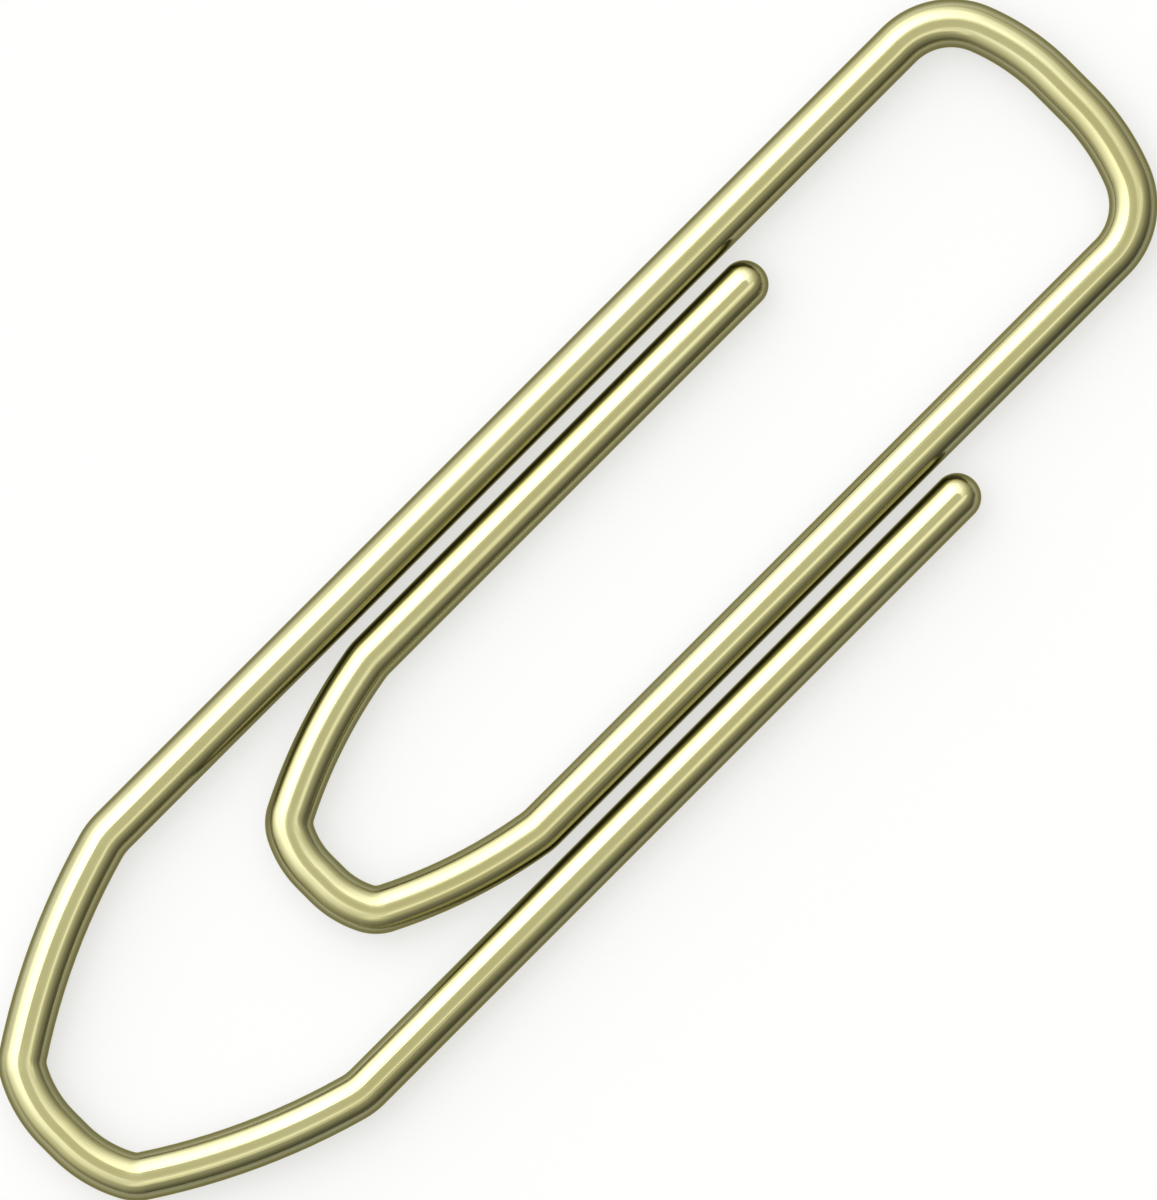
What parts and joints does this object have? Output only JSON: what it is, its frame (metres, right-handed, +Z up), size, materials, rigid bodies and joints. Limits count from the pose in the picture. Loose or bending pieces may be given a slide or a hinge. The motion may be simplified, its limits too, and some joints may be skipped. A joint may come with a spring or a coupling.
{
  "type": "paper clip",
  "caption": "Flat wire paper clip with pointed noses and a squared-off head; its bends twist so that the tongue lifts and grips sheets of paper.",
  "frame": {"origin": "on the surface that the clip lies on, under the middle of its length and width, which is on the axis of both noses", "axes": "+X across the clip from the long side towards the outer free end, +Y along it from the noses towards the head, +Z up from the surface"},
  "size_m": [0.0088, 0.0322, 0.001],
  "materials": {
    "brass_wire": "polished, brass-plated drawn steel wire"
  },
  "bodies": {
    "outer_frame": {"long_leg": "brass_wire", "head_leg_half": "brass_wire", "outer_nose_leg_half": "brass_wire"},
    "outer_arm": {"outer_nose_tail_half": "brass_wire", "outer_tail": "brass_wire"},
    "tongue": {"head_tongue_half": "brass_wire", "inner_leg": "brass_wire", "inner_nose_leg_half": "brass_wire"},
    "inner_arm": {"inner_nose_tail_half": "brass_wire", "inner_tail": "brass_wire"}
  },
  "joints": [
    {"name": "head_twist", "type": "hinge", "parent": "outer_frame", "child": "tongue", "pos_m": [-0.00065, 0.01562, 0.00052], "axis": [-1, 0, 0], "range_deg": [-10, 10], "stiffness_Nm_per_rad": 0.5},
    {"name": "outer_nose_twist", "type": "hinge", "parent": "outer_frame", "child": "outer_arm", "pos_m": [0, -0.01562, 0.00052], "axis": [1, 0, 0], "range_deg": [-9, 9], "stiffness_Nm_per_rad": 0.52},
    {"name": "inner_nose_twist", "type": "hinge", "parent": "tongue", "child": "inner_arm", "pos_m": [0, -0.00777, 0.00052], "axis": [1, 0, 0], "range_deg": [-6, 6], "stiffness_Nm_per_rad": 0.77}
  ]
}
